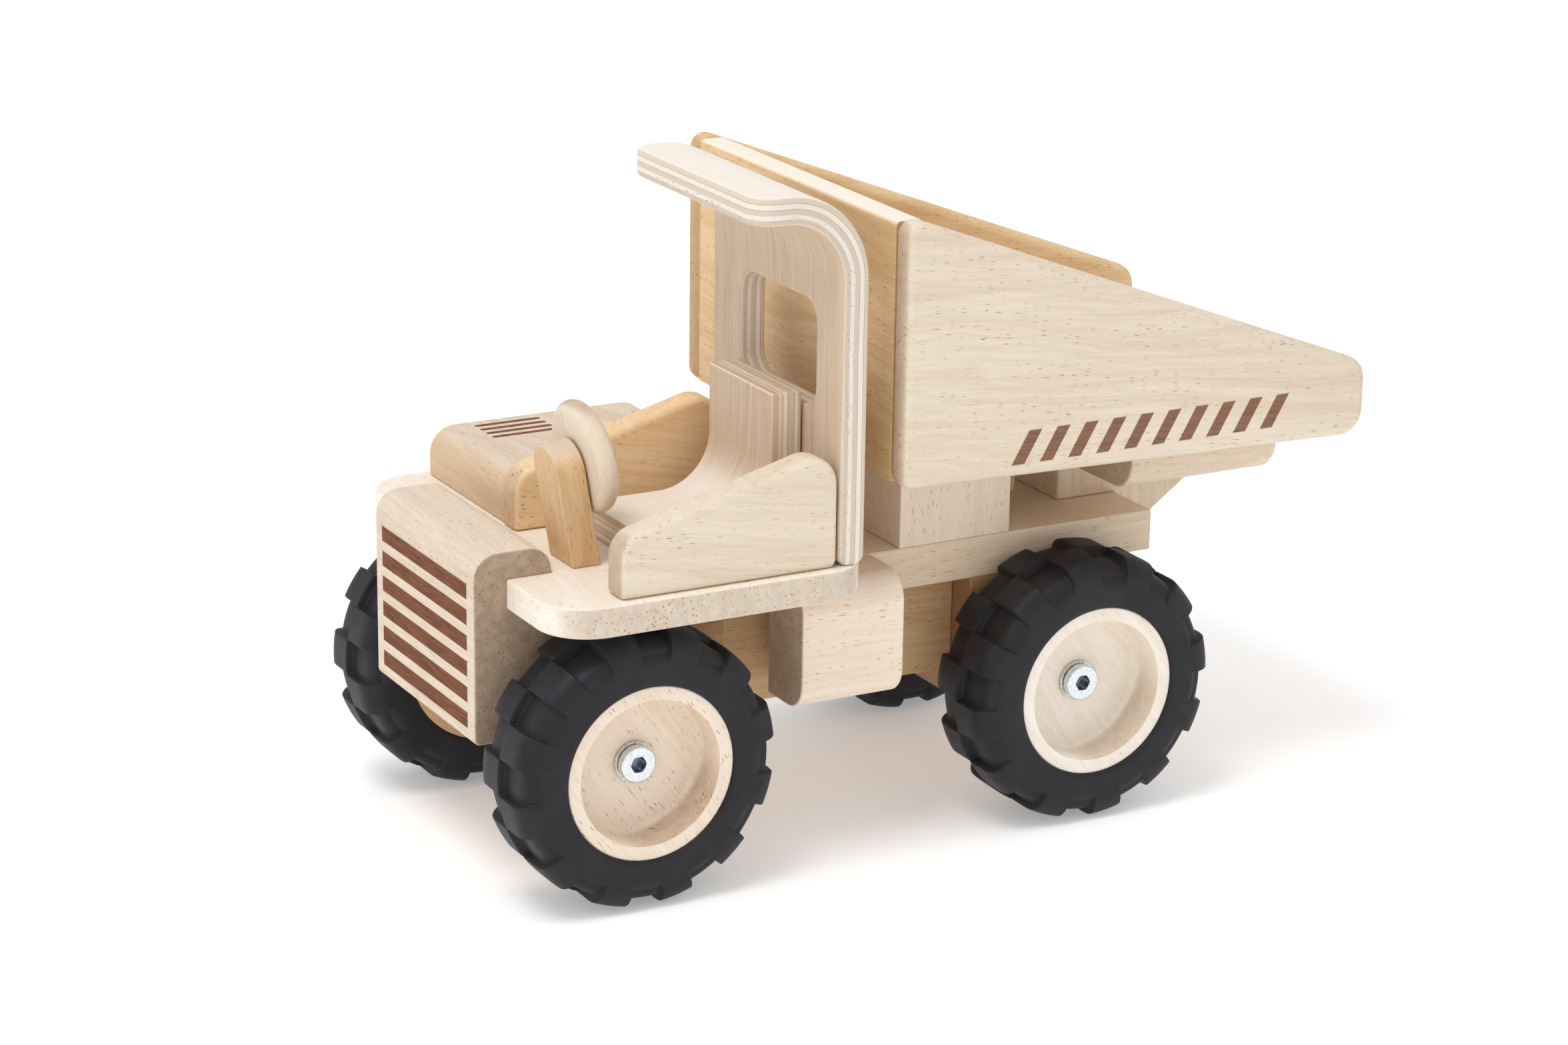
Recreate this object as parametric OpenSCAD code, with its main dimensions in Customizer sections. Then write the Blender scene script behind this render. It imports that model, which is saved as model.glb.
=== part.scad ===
// Wooden toy dump truck: tipping body, four rubber-tyred wheels and a turning steering wheel.
// +X is forward, +Y is the driver's left and +Z is up. The tyres stand on z = 0.

/* [Chassis] */
// distance between the front and rear wheel axes
wheelbase = 154.5; // [120:0.5:190]
// the front wheel axis, measured forward of the part's origin
front_axle_x = 103.8; // [80:0.1:130]
// width of the chassis board, which the front support block also has
chassis_w = 74.8; // [60:0.2:84]
// thickness of the chassis board
chassis_t = 13.2; // [10:0.1:18]
// underside of the chassis board above the wheel axes
chassis_z = 31.2; // [28:0.1:36]
// rear end of the chassis board behind the front axle
chassis_rear = 193.2; // [180:0.1:210]
// width of the central beam under the chassis board
beam_w = 54; // [40:1:60]
// height of the central beam
beam_h = 32.6; // [24:0.1:40]
// length of an axle block along the truck
axle_block_l = 55; // [40:1:60]
// width of the front axle block across the truck
axle_block_w = 78; // [70:1:80]
// height of an axle block
axle_block_h = 42; // [34:1:48]

/* [Deck and grille] */
// thickness of the deck board
deck_t = 9.2; // [8:0.1:12]
// width of the deck board
deck_w = 145; // [130:1:160]
// front edge of the deck ears ahead of the front axle
deck_front = 30; // [24:0.5:34]
// rear edge of the deck behind the front axle
deck_rear = 73; // [72:0.5:78]
// radius of the deck's front corners
deck_front_r = 16; // [8:1:24]
// radius of the deck's rear corners
deck_rear_r = 15; // [8:1:24]
// width of the grille block
grille_w = 72; // [60:1:78]
// thickness of the grille block along the truck
grille_t = 25.1; // [20:0.1:30]
// rear face of the grille block ahead of the front axle
grille_back = 15.2; // [14:0.1:20]
// underside of the grille block above the wheel axes
grille_low = 3.3; // [0:0.1:8]
// how far the grille block stands above the deck
grille_above = 8.3; // [4:0.1:14]
// radius of the grille block's two top edges
grille_r = 7.6; // [4:0.1:11]
// number of burnt stripes on the grille
grille_stripes = 6; // [3:1:8]
// length of a burnt grille stripe
grille_stripe_l = 62; // [40:1:66]
// height of a burnt grille stripe
grille_stripe_h = 4.9; // [3:0.1:6]
// spacing of the grille stripes
grille_pitch = 7.96; // [7:0.01:9]

/* [Fuel tanks] */
// length of a fuel tank block
tank_l = 35; // [24:1:36]
// how far a fuel tank stands out from the chassis board
tank_w = 21.4; // [15:0.1:24]
// height of a fuel tank block
tank_h = 39.2; // [30:0.1:42]
// front end of the fuel tanks behind the front axle
tank_front = 56; // [54:0.5:60]
// radius of a fuel tank's outer edges
tank_r = 9; // [4:0.5:12]

/* [Cab] */
// thickness of the bent plywood of the cab
cab_t = 8.6; // [7:0.1:10]
// width of the cab's plywood shell
cab_w = 81.4; // [66:0.1:90]
// left edge of the cab shell from the truck's middle
cab_left = 69.6; // [60:0.1:72]
// rear face of the cab behind the front axle
cab_rear = 70.5; // [68:0.1:72]
// top of the roof above the wheel axes
roof_z = 166.7; // [140:0.1:180]
// front edge of the roof behind the front axle
roof_front = 33; // [20:1:44]
// outer radius of the bend between cab back and roof
cab_bend_r = 27; // [16:1:34]
// radius of the roof's front corners
roof_corner_r = 8; // [3:1:16]
// width of the cab's rear window
window_w = 46.1; // [30:0.1:50]
// height of the cab's rear window
window_h = 31.8; // [20:0.1:36]
// right edge of the window from the truck's middle
window_right = 6.7; // [4:0.1:16]
// bottom of the window above the wheel axes
window_low = 98; // [80:1:110]
// radius of the window's corners
window_r = 7; // [3:0.5:12]

/* [Seat and armrests] */
// thickness of the bent plywood seat
seat_t = 10.1; // [7:0.1:11]
// width of the seat
seat_w = 40; // [30:0.5:46]
// right edge of the seat from the truck's middle
seat_right = 6.4; // [2:0.1:12]
// front edge of the seat behind the front axle
seat_front = 10; // [6:0.5:16]
// rear face of the seat's back behind the front axle
seat_rear = 61.4; // [56:0.1:61.6]
// top of the seat's back above the wheel axes
seat_top = 101.8; // [90:0.1:110]
// inner radius of the seat's bend
seat_bend_r = 17; // [8:1:20]
// thickness of an armrest panel
armrest_t = 9.8; // [8:0.1:12]
// outer face of the left armrest panel from the truck's middle
armrest_left = 69.4; // [64:0.1:72]
// right face of the right armrest panel from the truck's middle
armrest_right = 12.4; // [8:0.1:16]
// front end of the armrest panels ahead of the front axle
armrest_front = 9.3; // [6:0.1:12]
// rear end of the armrest panels behind the front axle
armrest_rear = 61.5; // [56:0.1:61.6]
// height of an armrest panel at its front end, before rounding
armrest_low = 18; // [14:0.1:24]
// height of an armrest panel at its rear end, before rounding
armrest_high = 37.2; // [30:0.1:44]

/* [Hood] */
// length of the hood block
hood_l = 74.6; // [60:0.1:80]
// height of the hood block
hood_h = 15.6; // [10:0.1:24]
// front end of the hood block ahead of the front axle
hood_front = 8.2; // [4:0.1:12]
// right side of the hood block from the truck's middle
hood_right = 68.5; // [60:0.1:72]
// radius of the hood block's front and rear top edges
hood_r = 8.5; // [4:0.5:12]
// number of burnt lines on the hood
louvre_count = 4; // [2:1:6]
// length of a burnt line on the hood
louvre_l = 20.5; // [10:0.5:30]
// spacing of the burnt lines on the hood
louvre_pitch = 4.4; // [3:0.1:6]

/* [Steering] */
// width of the steering column
column_w = 16.2; // [12:0.1:20]
// thickness of the steering column
column_t = 9.1; // [7:0.1:12]
// length of the steering column up its slanted front face
column_l = 38; // [30:0.5:46]
// forward lean of the steering column
column_lean = 10; // [0:0.5:20]
// middle of the steering column from the truck's middle
column_y = 28.4; // [20:0.1:36]
// radius of the steering wheel
steering_r = 17.3; // [12:0.1:22]
// thickness of the steering wheel
steering_t = 6.6; // [4:0.1:9]
// radius of the peg that the steering wheel turns on
peg_r = 3; // [2:0.1:4]
// radius of the peg's round head
peg_head_r = 4.6; // [3.5:0.1:7]

/* [Tipper] */
// front end of the tipper behind the front axle
tipper_front = 82.6; // [81.2:0.1:90]
// rear end of the tipper behind the front axle
tipper_rear = 250.1; // [235:0.1:260]
// overall width of the tipper
tipper_w = 139.2; // [124:0.1:146]
// thickness of a tipper side panel
side_t = 8; // [6:0.1:10]
// underside of the tipper's floor above the wheel axes
floor_z = 75; // [72:0.1:80]
// thickness of the tipper's floor
floor_t = 8; // [5:0.1:10]
// height of a side panel's front end above the wheel axes
side_front_z = 157; // [130:0.1:170]
// height of a side panel's rear end above the wheel axes, before rounding
side_rear_z = 93.7; // [88:0.1:130]
// how far a side panel reaches below the underside of the floor, at its front end
side_lip = 1.1; // [0:0.1:3]
// how far a side panel's lower edge drops towards the rear
side_drop = 3.6; // [0:0.1:6]
// thickness of the tipper's front board
headboard_t = 9; // [7:0.1:12]
// top of the tipper's front board above the wheel axes
headboard_z = 154; // [130:0.1:158]
// height of the rails under the tipper's floor
rail_h = 17.3; // [12:0.1:20]
// radius of a rail's outer lower edge
rail_r = 10; // [2:0.5:11]
// length of the rails under the tipper's floor
rail_l = 54.2; // [46:0.1:60]
// number of burnt stripes on each side panel
side_stripes = 10; // [4:1:12]
// spacing of the burnt stripes on a side panel
side_pitch = 9.97; // [8:0.01:12]

/* [Hinge] */
// hinge axis of the tipper behind the front axle
hinge_back = 214.5; // [208:0.1:216]
// radius of the hinge pin
pin_r = 3; // [2:0.1:4]
// width of the hinge block
hinge_w = 32.6; // [20:0.1:40]
// how far the tipper tips back before its floor meets the hinge block
tip_stop = 50.5; // [30:0.5:60]

/* [Wheels] */
// outer radius of a tyre, over its tread lugs
tyre_r = 42.5; // [36:0.5:50]
// width of a tyre
tyre_w = 30; // [24:0.5:36]
// radius of the wooden wheel inside its tyre
hub_r = 26.9; // [22:0.1:32]
// width of the wooden wheel
hub_w = 29; // [22:0.5:30]
// outer face of a front tyre from the truck's middle
tyre_out = 71.5; // [66:0.1:76]
// how much nearer to the middle the rear wheels stand
rear_inset = 1.8; // [0:0.1:4]
// number of tread lugs in one row
lug_count = 12; // [8:1:20]
// depth of the pockets between the tread lugs
lug_h = 2.6; // [1:0.1:4]
// width of the raised rim around the wheel's face
rim_w = 4.4; // [2:0.1:8]
// depth of the sunk face of a wheel
dish = 12.2; // [3:0.1:15]
// share of the tread's length that a lug takes, against the pocket beside it
lug_share = 0.53; // [0.4:0.01:0.6]

/* [Fits] */
// radial running clearance of a part that turns on a pin or bushing
run_gap = 0.05; // [0.02:0.01:0.1]
// gap between faces that slide past each other
side_gap = 0.3; // [0.1:0.05:0.5]
// depth of the burnt marks
burn_depth = 0.3; // [0.1:0.05:0.5]

/* [Hidden] */
$fn = 96;

pale_wood = [0.90, 0.82, 0.70];
warm_wood = [0.84, 0.70, 0.52];
rubber = [0.13, 0.13, 0.15];
steel = [0.78, 0.79, 0.80];

// heights above the wheel axes
chassis_top = chassis_z + chassis_t;
deck_top = chassis_top + deck_t;
grille_top = deck_top + grille_above;
grille_front = grille_back + grille_t;

// the hinge axis and the block that carries it
block_rise = floor_z - side_gap;
hinge_front = hinge_back - 43.2;
hinge_z = floor_z - 7.5;
stop_r = block_rise - hinge_z;
headboard_back = tipper_front + 0.6 + headboard_t;

// the wheels, along their own axes
tyre_in = tyre_out - tyre_w;
hub_out = tyre_out - 0.8;
hub_in = hub_out - hub_w;
bolt_r = 2.5;
bushing_r = 4;
bushing_flange_r = 6.3;
bushing_flange_t = 1.4;
bolt_head_r = 5.7;
bolt_head_t = 2.4;
socket_r = 2.6;
bolt_in = axle_block_w / 2 - 22;
lug_start = 3.2;
row_gap = 0.4;
dish_floor = hub_out - dish;
flange_face = dish_floor + side_gap;
head_face = flange_face + bushing_flange_t;

module vehicle() {
  translate([front_axle_x, 0, tyre_r])
    children();
}

// points of the two tangent ends of a rounded corner, or the corner itself when its radius is zero
function heading(a, b) = (b - a) / norm(b - a);
function half_angle(p, a, b) = acos(heading(p, a) * heading(p, b)) / 2;
function corner_points(p, a, b, r) =
  r > 0 ? [for (q = [a, b]) p + heading(p, q) * r / tan(half_angle(p, a, b))] : [p];
function corner_centre(p, a, b, r) =
  p + heading([0, 0], heading(p, a) + heading(p, b)) * r / sin(half_angle(p, a, b));

// a convex outline with a true arc at each corner that has a radius
module rounded_outline(points, radii) {
  n = len(points);
  polygon([
    for (i = [0:n - 1])
      each corner_points(points[i], points[(i + n - 1) % n], points[(i + 1) % n], radii[i])
  ]);
  for (i = [0:n - 1])
    if (radii[i] > 0)
      translate(corner_centre(points[i], points[(i + n - 1) % n], points[(i + 1) % n], radii[i]))
        circle(r = radii[i]);
}

// an outline in X and Z carried across the truck from y0 to y1
module across(y0, y1) {
  translate([0, y1, 0])
    rotate([90, 0, 0])
      linear_extrude(y1 - y0)
        children();
}

// an outline in Y and Z carried along the truck from x0 to x1
module along(x0, x1) {
  translate([x0, 0, 0])
    rotate([90, 0, 90])
      linear_extrude(x1 - x0)
        children();
}

// a block from its two opposite corners
module block(a, b) {
  translate(a)
    cube(b - a);
}

module grille_block() {
  side = grille_w / 2;
  first = deck_top - 1.4;
  color(pale_wood)
    vehicle()
      difference() {
        across(-side, side)
          rounded_outline(
            [
              [grille_back, grille_low],
              [grille_front, grille_low],
              [grille_front, grille_top],
              [grille_back, grille_top]
            ],
            [2, 2, grille_r, grille_r]
          );
        for (i = [0:grille_stripes - 1])
          translate([grille_front - burn_depth, -grille_stripe_l / 2, first - grille_stripe_h - i * grille_pitch])
            cube([2, grille_stripe_l, grille_stripe_h]);
      }
}

module deck_outline() {
  side = deck_w / 2;
  notch = grille_w / 2;
  difference() {
    rounded_outline(
      [
        [-deck_rear, -side],
        [deck_front, -side],
        [deck_front, side],
        [-deck_rear, side]
      ],
      [deck_rear_r, deck_front_r, deck_front_r, deck_rear_r]
    );
    translate([grille_back, -notch])
      square([40, 2 * notch]);
  }
}

module deck_board() {
  color(pale_wood)
    vehicle()
      translate([0, 0, chassis_top])
        linear_extrude(deck_t)
          deck_outline();
}

module chassis_board() {
  color(pale_wood)
    vehicle()
      block([-chassis_rear, -chassis_w / 2, chassis_z], [grille_back, chassis_w / 2, chassis_top]);
}

module axle_block(x, front, inset) {
  half = axle_block_w / 2 - inset;
  difference() {
    block([front - axle_block_l, -half, chassis_z - axle_block_h], [front, half, chassis_z]);
    for (s = [-1, 1])
      translate([x, s * (bolt_in - inset), 0])
        rotate([-90 * s, 0, 0])
          cylinder(r = bolt_r, h = 30);
  }
}

module front_axle_block() {
  color(warm_wood)
    vehicle()
      axle_block(0, grille_back - 0.2, 0);
}

module rear_axle_block() {
  color(warm_wood)
    vehicle()
      axle_block(-wheelbase, axle_block_l / 2 - wheelbase, rear_inset);
}

module spine_beam() {
  front = grille_back - 0.2 - axle_block_l;
  rear = axle_block_l / 2 - wheelbase;
  color(warm_wood)
    vehicle()
      block([rear, -beam_w / 2, chassis_z - beam_h], [front, beam_w / 2, chassis_z]);
}

module fuel_tank() {
  inner = chassis_w / 2;
  outer = inner + tank_w;
  along(-tank_front - tank_l, -tank_front)
    rounded_outline(
      [
        [inner, chassis_top - tank_h],
        [outer, chassis_top - tank_h],
        [outer, chassis_top],
        [inner, chassis_top]
      ],
      [0, tank_r, tank_r, 0]
    );
}

module left_fuel_tank() {
  color(pale_wood)
    vehicle()
      fuel_tank();
}

module right_fuel_tank() {
  color(pale_wood)
    vehicle()
      mirror([0, 1, 0])
        fuel_tank();
}

module hood_outline() {
  back = hood_front - hood_l;
  top = deck_top + hood_h;
  intersection() {
    rounded_outline(
      [
        [back, deck_top - 10],
        [hood_front, deck_top - 10],
        [hood_front, top],
        [back, top]
      ],
      [0, 0, hood_r, hood_r]
    );
    translate([back, deck_top])
      square([hood_l, hood_h]);
  }
}

module hood_block() {
  louvre_r = 1.05;
  first_y = 4.6 - hood_right;
  start_x = -6 - louvre_l;
  color(pale_wood)
    vehicle()
      difference() {
        across(-hood_right, -armrest_right)
          hood_outline();
        for (i = [0:louvre_count - 1])
          translate([start_x, first_y + i * louvre_pitch, deck_top + hood_h - burn_depth])
            linear_extrude(2) {
              square([louvre_l, 2 * louvre_r]);
              translate([0, louvre_r])
                circle(r = louvre_r);
              translate([louvre_l, louvre_r])
                circle(r = louvre_r);
            }
      }
}

module armrest_outline() {
  rounded_outline(
    [
      [-armrest_rear, deck_top],
      [armrest_front, deck_top],
      [armrest_front, deck_top + armrest_low],
      [-armrest_rear, deck_top + armrest_high]
    ],
    [2.5, 0, 8, 9]
  );
}

module left_armrest() {
  color(pale_wood)
    vehicle()
      across(armrest_left - armrest_t, armrest_left)
        armrest_outline();
}

module right_armrest() {
  color(warm_wood)
    vehicle()
      across(-armrest_right, armrest_t - armrest_right)
        armrest_outline();
}

module quarter_bend(inner_r, outer_r) {
  difference() {
    intersection() {
      circle(r = outer_r);
      square(outer_r);
    }
    circle(r = inner_r);
  }
}

module bench_seat() {
  outer = seat_bend_r + seat_t;
  bend_x = seat_rear - outer;
  color(pale_wood)
    vehicle()
      across(seat_right, seat_right + seat_w) {
        translate([-bend_x, deck_top])
          square([bend_x - seat_front, seat_t]);
        translate([-bend_x, deck_top + outer])
          rotate(180)
            quarter_bend(seat_bend_r, outer);
        translate([-seat_rear, deck_top + outer])
          square([seat_t, seat_top - deck_top - outer]);
      }
}

module cab_outline() {
  bend_z = roof_z - cab_bend_r;
  bend_x = cab_rear - cab_bend_r;
  foot_r = 3.2;
  translate([-cab_rear, deck_top + foot_r])
    square([cab_t, bend_z - deck_top - foot_r]);
  rounded_outline(
    [
      [-cab_rear, deck_top],
      [cab_t - cab_rear, deck_top],
      [cab_t - cab_rear, deck_top + 20],
      [-cab_rear, deck_top + 20]
    ],
    [foot_r, foot_r, 0, 0]
  );
  translate([-bend_x, bend_z])
    rotate(90)
      quarter_bend(cab_bend_r - cab_t, cab_bend_r);
  translate([-bend_x, roof_z - cab_t])
    square([bend_x - roof_front, cab_t]);
}

module cab_shell() {
  right = cab_left - cab_w;
  color(pale_wood)
    vehicle()
      difference() {
        intersection() {
          across(right, cab_left)
            cab_outline();
          linear_extrude(roof_z + 10)
            rounded_outline(
              [
                [-cab_rear - 5, right],
                [-roof_front, right],
                [-roof_front, cab_left],
                [-cab_rear - 5, cab_left]
              ],
              [0, roof_corner_r, roof_corner_r, 0]
            );
        }
        along(-cab_rear - 10, cab_t - cab_rear + 10)
          rounded_outline(
            [
              [window_right, window_low],
              [window_right + window_w, window_low],
              [window_right + window_w, window_low + window_h],
              [window_right, window_low + window_h]
            ],
            [window_r, window_r, window_r, window_r]
          );
      }
}

// the column's own frame: its length is Z, its rear face looks to -X at x = 0
module on_column() {
  vehicle()
    translate([-0.7, column_y, deck_top])
      rotate([0, column_lean, 0])
        children();
}

peg_z = 31.1;
peg_tip = 12.6;
peg_depth = 7;

module steering_column() {
  half = column_w / 2;
  color(warm_wood)
    difference() {
      on_column()
        difference() {
          along(0, column_t) {
            translate([-half, -4])
              square([column_w, column_l + 4 - half]);
            translate([0, column_l - half])
              circle(r = half);
          }
          translate([0, 0, peg_z])
            rotate([0, 90, 0])
              translate([0, 0, -1])
                cylinder(r = peg_r, h = peg_depth + 1);
        }
      vehicle()
        block([-20, 0, deck_top - 10], [30, 60, deck_top]);
    }
}

module steering_wheel() {
  rim = steering_t / 2;
  gap = 0.7;
  color(pale_wood)
    on_column()
      translate([-gap, 0, peg_z])
        rotate([0, -90, 0])
          difference() {
            union() {
              cylinder(r = steering_r - rim, h = steering_t);
              translate([0, 0, rim])
                rotate_extrude()
                  intersection() {
                    translate([steering_r - rim, 0])
                      circle(r = rim);
                    translate([0, -rim])
                      square([2 * steering_r, 2 * rim]);
                  }
            }
            translate([0, 0, -1])
              cylinder(r = peg_r + run_gap, h = steering_t + 2);
          }
}

module steering_peg() {
  head_start = 0.7 + steering_t + side_gap;
  color(warm_wood)
    on_column()
      translate([0, 0, peg_z])
        rotate([0, -90, 0]) {
          translate([0, 0, -peg_depth])
            cylinder(r = peg_r, h = peg_depth + head_start + 1);
          rotate_extrude()
            intersection() {
              rounded_outline(
                [
                  [-peg_head_r, head_start],
                  [peg_head_r, head_start],
                  [peg_head_r, peg_tip],
                  [-peg_head_r, peg_tip]
                ],
                [0, 0, 2.2, 2.2]
              );
              translate([0, head_start])
                square([peg_head_r + 1, 30]);
            }
        }
}

module front_support_block() {
  color(pale_wood)
    vehicle()
      block([-140.5, -chassis_w / 2, chassis_top], [-101.2, chassis_w / 2, block_rise]);
}

// the block stands on the chassis board, hooks over its rear end and stops the tipped floor
module hinge_block() {
  half = hinge_w / 2;
  top_x = -hinge_back - stop_r * tan(tip_stop / 2);
  stop_l = 25;
  color(pale_wood)
    vehicle()
      difference() {
        across(-half, half)
          rounded_outline(
            [
              [-hinge_front, block_rise],
              [top_x, block_rise],
              [top_x - stop_l * cos(tip_stop), block_rise - stop_l * sin(tip_stop)],
              [-chassis_rear - 7, chassis_z],
              [-chassis_rear, chassis_z],
              [-chassis_rear, chassis_top],
              [-hinge_front, chassis_top]
            ],
            [0, stop_r, 1.2, 0, 0, 0, 0]
          );
        translate([-hinge_back, half + 1, hinge_z])
          rotate([90, 0, 0])
            cylinder(r = pin_r + run_gap, h = hinge_w + 2);
      }
}

module hinge_pin() {
  reach = hinge_w / 2 + 24;
  color(warm_wood)
    vehicle()
      translate([-hinge_back, reach, hinge_z])
        rotate([90, 0, 0])
          cylinder(r = pin_r, h = 2 * reach);
}

module tipper_rail() {
  inner = hinge_w / 2 + side_gap;
  outer = tipper_w / 2 - side_t - 4.6;
  difference() {
    along(-hinge_front - rail_l - 0.5, -hinge_front - 0.5)
      difference() {
        rounded_outline(
          [
            [inner, floor_z - rail_h],
            [outer, floor_z - rail_h],
            [outer, floor_z + rail_r],
            [inner, floor_z + rail_r]
          ],
          [0, rail_r, 0, 0]
        );
        translate([inner - 1, floor_z])
          square([outer - inner + 2, rail_r + 1]);
      }
    translate([-hinge_back, hinge_w / 2 + 24, hinge_z])
      rotate([90, 0, 0])
        cylinder(r = pin_r, h = 26);
  }
}

module tipper_left_rail() {
  color(pale_wood)
    vehicle()
      tipper_rail();
}

module tipper_right_rail() {
  color(pale_wood)
    vehicle()
      mirror([0, 1, 0])
        tipper_rail();
}

module tipper_locating_block() {
  half = hinge_w / 2;
  color(pale_wood)
    vehicle()
      across(-half, half)
        rounded_outline(
          [
            [-155.2, 49.2],
            [-145.2, 49.2],
            [-145.2, floor_z],
            [-155.2, floor_z]
          ],
          [2.5, 2.5, 0, 0]
        );
}

module tipper_floor() {
  half = tipper_w / 2 - side_t;
  color(warm_wood)
    vehicle()
      block([-tipper_rear + 3.2, -half, floor_z], [-headboard_back, half, floor_z + floor_t]);
}

module tipper_headboard() {
  half = tipper_w / 2 - side_t;
  front = headboard_t - headboard_back;
  color(warm_wood)
    vehicle()
      across(-half, half)
        rounded_outline(
          [
            [-headboard_back, floor_z],
            [front, floor_z],
            [front, headboard_z],
            [-headboard_back, headboard_z]
          ],
          [0, 0, 1.8, 1.8]
        );
}

// one side panel, with its row of slanted burnt stripes on the outer face
module tipper_side() {
  outer = tipper_w / 2;
  first_x = -120.2;
  stripe_w = 4.6;
  slant = 6;
  low_z = 77.2;
  high_z = 87.5;
  low_edge = floor_z - side_lip;
  difference() {
    across(outer - side_t, outer)
      rounded_outline(
        [
          [-tipper_rear, low_edge - side_drop],
          [-tipper_front, low_edge],
          [-tipper_front, side_front_z],
          [-tipper_rear, side_rear_z]
        ],
        [8, 5, 4.5, 8]
      );
    across(outer - burn_depth, outer + 2)
      for (i = [0:side_stripes - 1])
        translate([first_x - i * side_pitch, 0])
          polygon([
            [0, low_z],
            [-slant, high_z],
            [-slant - stripe_w, high_z],
            [-stripe_w, low_z]
          ]);
  }
}

module tipper_left_side() {
  color(pale_wood)
    vehicle()
      tipper_side();
}

module tipper_right_side() {
  color(pale_wood)
    vehicle()
      mirror([0, 1, 0])
        tipper_side();
}

// a wheel's own axis is Z, pointing outwards; s is the side of the truck
module at_wheel(x, s) {
  vehicle()
    translate([x, x < 0 ? -s * rear_inset : 0, 0])
      rotate([-90 * s, 0, 0])
        children();
}

// one row of lugs, from the middle of the tread out to one shoulder
module lug_row(turn) {
  step = 360 / lug_count;
  root = tyre_r - lug_h - 1;
  for (i = [0:lug_count - 1])
    rotate(turn + i * step)
      rotate_extrude(angle = lug_share * step)
        polygon([
          [root, row_gap / 2],
          [tyre_r, row_gap / 2],
          [tyre_r, 10.6],
          [tyre_r - 0.8, 12.6],
          [tyre_r - 2.4, 13.9],
          [tyre_r - 6, 14.8],
          [root - 3.2, 13.6],
          [root, 10]
        ]);
}

module tyre() {
  carcass = tyre_r - lug_h;
  half = tyre_w / 2;
  step = 360 / lug_count;
  translate([0, 0, tyre_in + half]) {
    rotate_extrude()
      polygon([
        [hub_r, -half],
        [hub_r + 7, -half],
        [hub_r + 9.5, 0.9 - half],
        [carcass - 1.6, 3 - half],
        [carcass, 6.2 - half],
        [carcass, half - 6.2],
        [carcass - 1.6, half - 3],
        [hub_r + 9.5, half - 0.9],
        [hub_r + 7, half],
        [hub_r, half]
      ]);
    lug_row(lug_start);
    mirror([0, 0, 1])
      lug_row(lug_start + step / 2);
  }
}

module hub() {
  cove = 2.8;
  flat_r = hub_r - rim_w;
  difference() {
    translate([0, 0, hub_in])
      cylinder(r = hub_r, h = hub_w);
    translate([0, 0, dish_floor])
      rotate_extrude()
        difference() {
          square([flat_r, dish + 1]);
          translate([flat_r, 0])
            difference() {
              translate([-cove, 0])
                square([cove, cove]);
              translate([-cove, cove])
                circle(r = cove);
            }
        }
    translate([0, 0, hub_in - 1])
      cylinder(r = bushing_r + run_gap, h = hub_w + 2);
  }
}

module front_left_tyre() {
  color(rubber)
    at_wheel(0, 1)
      rotate(2.5)
        tyre();
}

module front_right_tyre() {
  color(rubber)
    at_wheel(0, -1)
      rotate(22)
        tyre();
}

module rear_left_tyre() {
  color(rubber)
    at_wheel(-wheelbase, 1)
      rotate(27.6)
        tyre();
}

module rear_right_tyre() {
  color(rubber)
    at_wheel(-wheelbase, -1)
      rotate(18)
        tyre();
}

module front_left_hub() {
  color(pale_wood)
    at_wheel(0, 1)
      hub();
}

module front_right_hub() {
  color(pale_wood)
    at_wheel(0, -1)
      hub();
}

module rear_left_hub() {
  color(pale_wood)
    at_wheel(-wheelbase, 1)
      hub();
}

module rear_right_hub() {
  color(pale_wood)
    at_wheel(-wheelbase, -1)
      hub();
}

module every_wheel() {
  for (x = [0, -wheelbase])
    for (s = [1, -1])
      at_wheel(x, s)
        children();
}

module wheel_bolts() {
  color(steel)
    every_wheel()
      difference() {
        union() {
          translate([0, 0, bolt_in])
            cylinder(r = bolt_r, h = head_face - bolt_in);
          translate([0, 0, head_face])
            cylinder(r = bolt_head_r, h = bolt_head_t - 0.4);
          translate([0, 0, head_face + bolt_head_t - 0.4])
            cylinder(r1 = bolt_head_r, r2 = bolt_head_r - 0.4, h = 0.4);
        }
        translate([0, 0, head_face + bolt_head_t - 2.6])
          cylinder(r = socket_r, h = 4, $fn = 6);
      }
}

module wheel_bushings() {
  base = axle_block_w / 2;
  color(steel)
    every_wheel()
      difference() {
        union() {
          translate([0, 0, base])
            cylinder(r = bushing_r, h = flange_face - base);
          translate([0, 0, flange_face])
            cylinder(r = bushing_flange_r, h = bushing_flange_t - 0.3);
          translate([0, 0, flange_face])
            cylinder(r = bolt_head_r - 0.6, h = bushing_flange_t);
        }
        translate([0, 0, base - 1])
          cylinder(r = bolt_r, h = 60);
      }
}

module wheel_washers() {
  base = axle_block_w / 2;
  color(steel)
    every_wheel()
      translate([0, 0, base])
        difference() {
          cylinder(r = 8, h = hub_in - base - side_gap);
          translate([0, 0, -1])
            cylinder(r = bushing_r, h = 10);
        }
}

grille_block();
deck_board();
chassis_board();
spine_beam();
front_axle_block();
rear_axle_block();
left_fuel_tank();
right_fuel_tank();
hood_block();
left_armrest();
right_armrest();
bench_seat();
cab_shell();
steering_column();
steering_wheel();
steering_peg();
front_support_block();
hinge_block();
hinge_pin();
tipper_floor();
tipper_left_side();
tipper_right_side();
tipper_headboard();
tipper_left_rail();
tipper_right_rail();
tipper_locating_block();
front_left_tyre();
front_right_tyre();
rear_left_tyre();
rear_right_tyre();
front_left_hub();
front_right_hub();
rear_left_hub();
rear_right_hub();
wheel_bolts();
wheel_bushings();
wheel_washers();
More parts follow.
